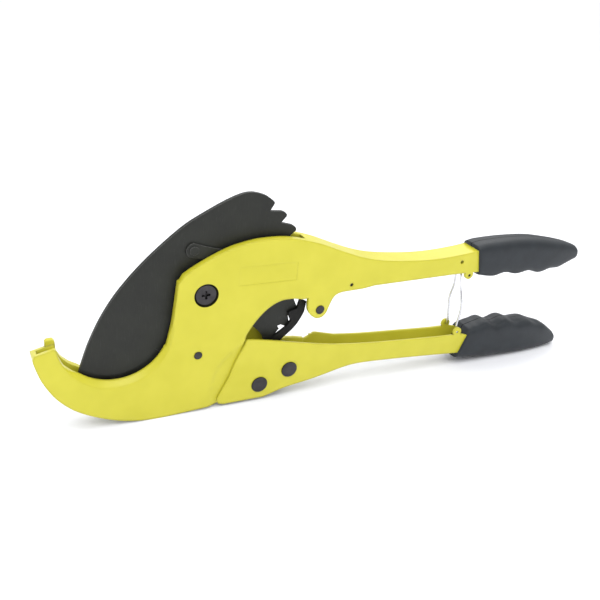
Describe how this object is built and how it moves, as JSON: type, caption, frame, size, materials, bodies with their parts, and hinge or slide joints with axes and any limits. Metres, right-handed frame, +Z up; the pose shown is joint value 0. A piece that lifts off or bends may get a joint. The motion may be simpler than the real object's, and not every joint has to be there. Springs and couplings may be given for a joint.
{
  "type": "pipe cutter",
  "caption": "Ratcheting scissor-type cutter for plastic pipe: a curved blade closes into a hooked jaw as the lower handle is pumped.",
  "frame": {"origin": "on the ground plane under the middle of the tool's length and thickness", "axes": "+X from the jaw towards the grips, +Y across the tool away from the side with the screw head, +Z up with the tool standing on its hook and lower grip"},
  "size_m": [0.4924, 0.0256, 0.1725],
  "materials": {
    "paint": "gloss",
    "blade_steel": "satin",
    "black_steel": "satin",
    "fastener": "satin",
    "bright_steel": "polished",
    "brass_bush": "satin",
    "grip": "satin"
  },
  "bodies": {
    "frame": {"frame_body": "paint", "blade_screw": "fastener", "blade_nut": "fastener", "blade_spacers": "bright_steel", "stop_pin": "fastener", "handle_rivet": "fastener", "anchor_pin": "black_steel", "bail_stud": "black_steel", "return_spring": "bright_steel", "handle_spring": "bright_steel", "catch_pin_stud": "fastener", "catch_clip": "bright_steel", "catch_spring": "bright_steel", "upper_grip": "grip"},
    "blade": {"blade": "blade_steel", "blade_bush": "brass_bush", "link_rivet": "blade_steel"},
    "link": {"return_link": "blade_steel"},
    "handle": {"lower_handle": "paint", "pawl_rivet": "fastener", "pawl_spacers": "bright_steel", "pawl_spring": "bright_steel", "lower_grip": "grip"},
    "feed_pawl": {"feed_pawl": "black_steel"},
    "holding_pawl": {"holding_pawl": "black_steel"},
    "bail": {"wire_bail": "bright_steel"}
  },
  "joints": [
    {"name": "blade_pivot", "type": "hinge", "parent": "frame", "child": "blade", "pos_m": [-0.12365, 0, 0.0989], "axis": [0, 1, 0], "range_deg": [0, 61.2], "deforming": ["return_spring"]},
    {"name": "link_pivot", "type": "hinge", "parent": "blade", "child": "link", "pos_m": [-0.13175, 0, 0.1321], "axis": [0, 1, 0], "range_deg": [-61, 0]},
    {"name": "handle_pivot", "type": "hinge", "parent": "frame", "child": "handle", "pos_m": [-0.07655, 0, 0.0149], "axis": [0, 1, 0], "range_deg": [0, 32]},
    {"name": "feed_pawl_pivot", "type": "hinge", "parent": "handle", "child": "feed_pawl", "pos_m": [-0.05115, 0, 0.0245], "axis": [0, 1, 0], "range_deg": [-32, 0]},
    {"name": "holding_pawl_pivot", "type": "hinge", "parent": "frame", "child": "holding_pawl", "pos_m": [-0.02855, 0, 0.0752], "axis": [0, 1, 0], "range_deg": [0, 15]},
    {"name": "bail_pivot", "type": "hinge", "parent": "handle", "child": "bail", "pos_m": [0.11445, 0, 0.0339], "axis": [0, 1, 0], "range_deg": [-75, 0]}
  ],
  "couplings": [
    {"joint": "link_pivot", "follows": "blade_pivot", "ratio": -0.98},
    {"joint": "feed_pawl_pivot", "follows": "handle_pivot", "ratio": -1}
  ]
}
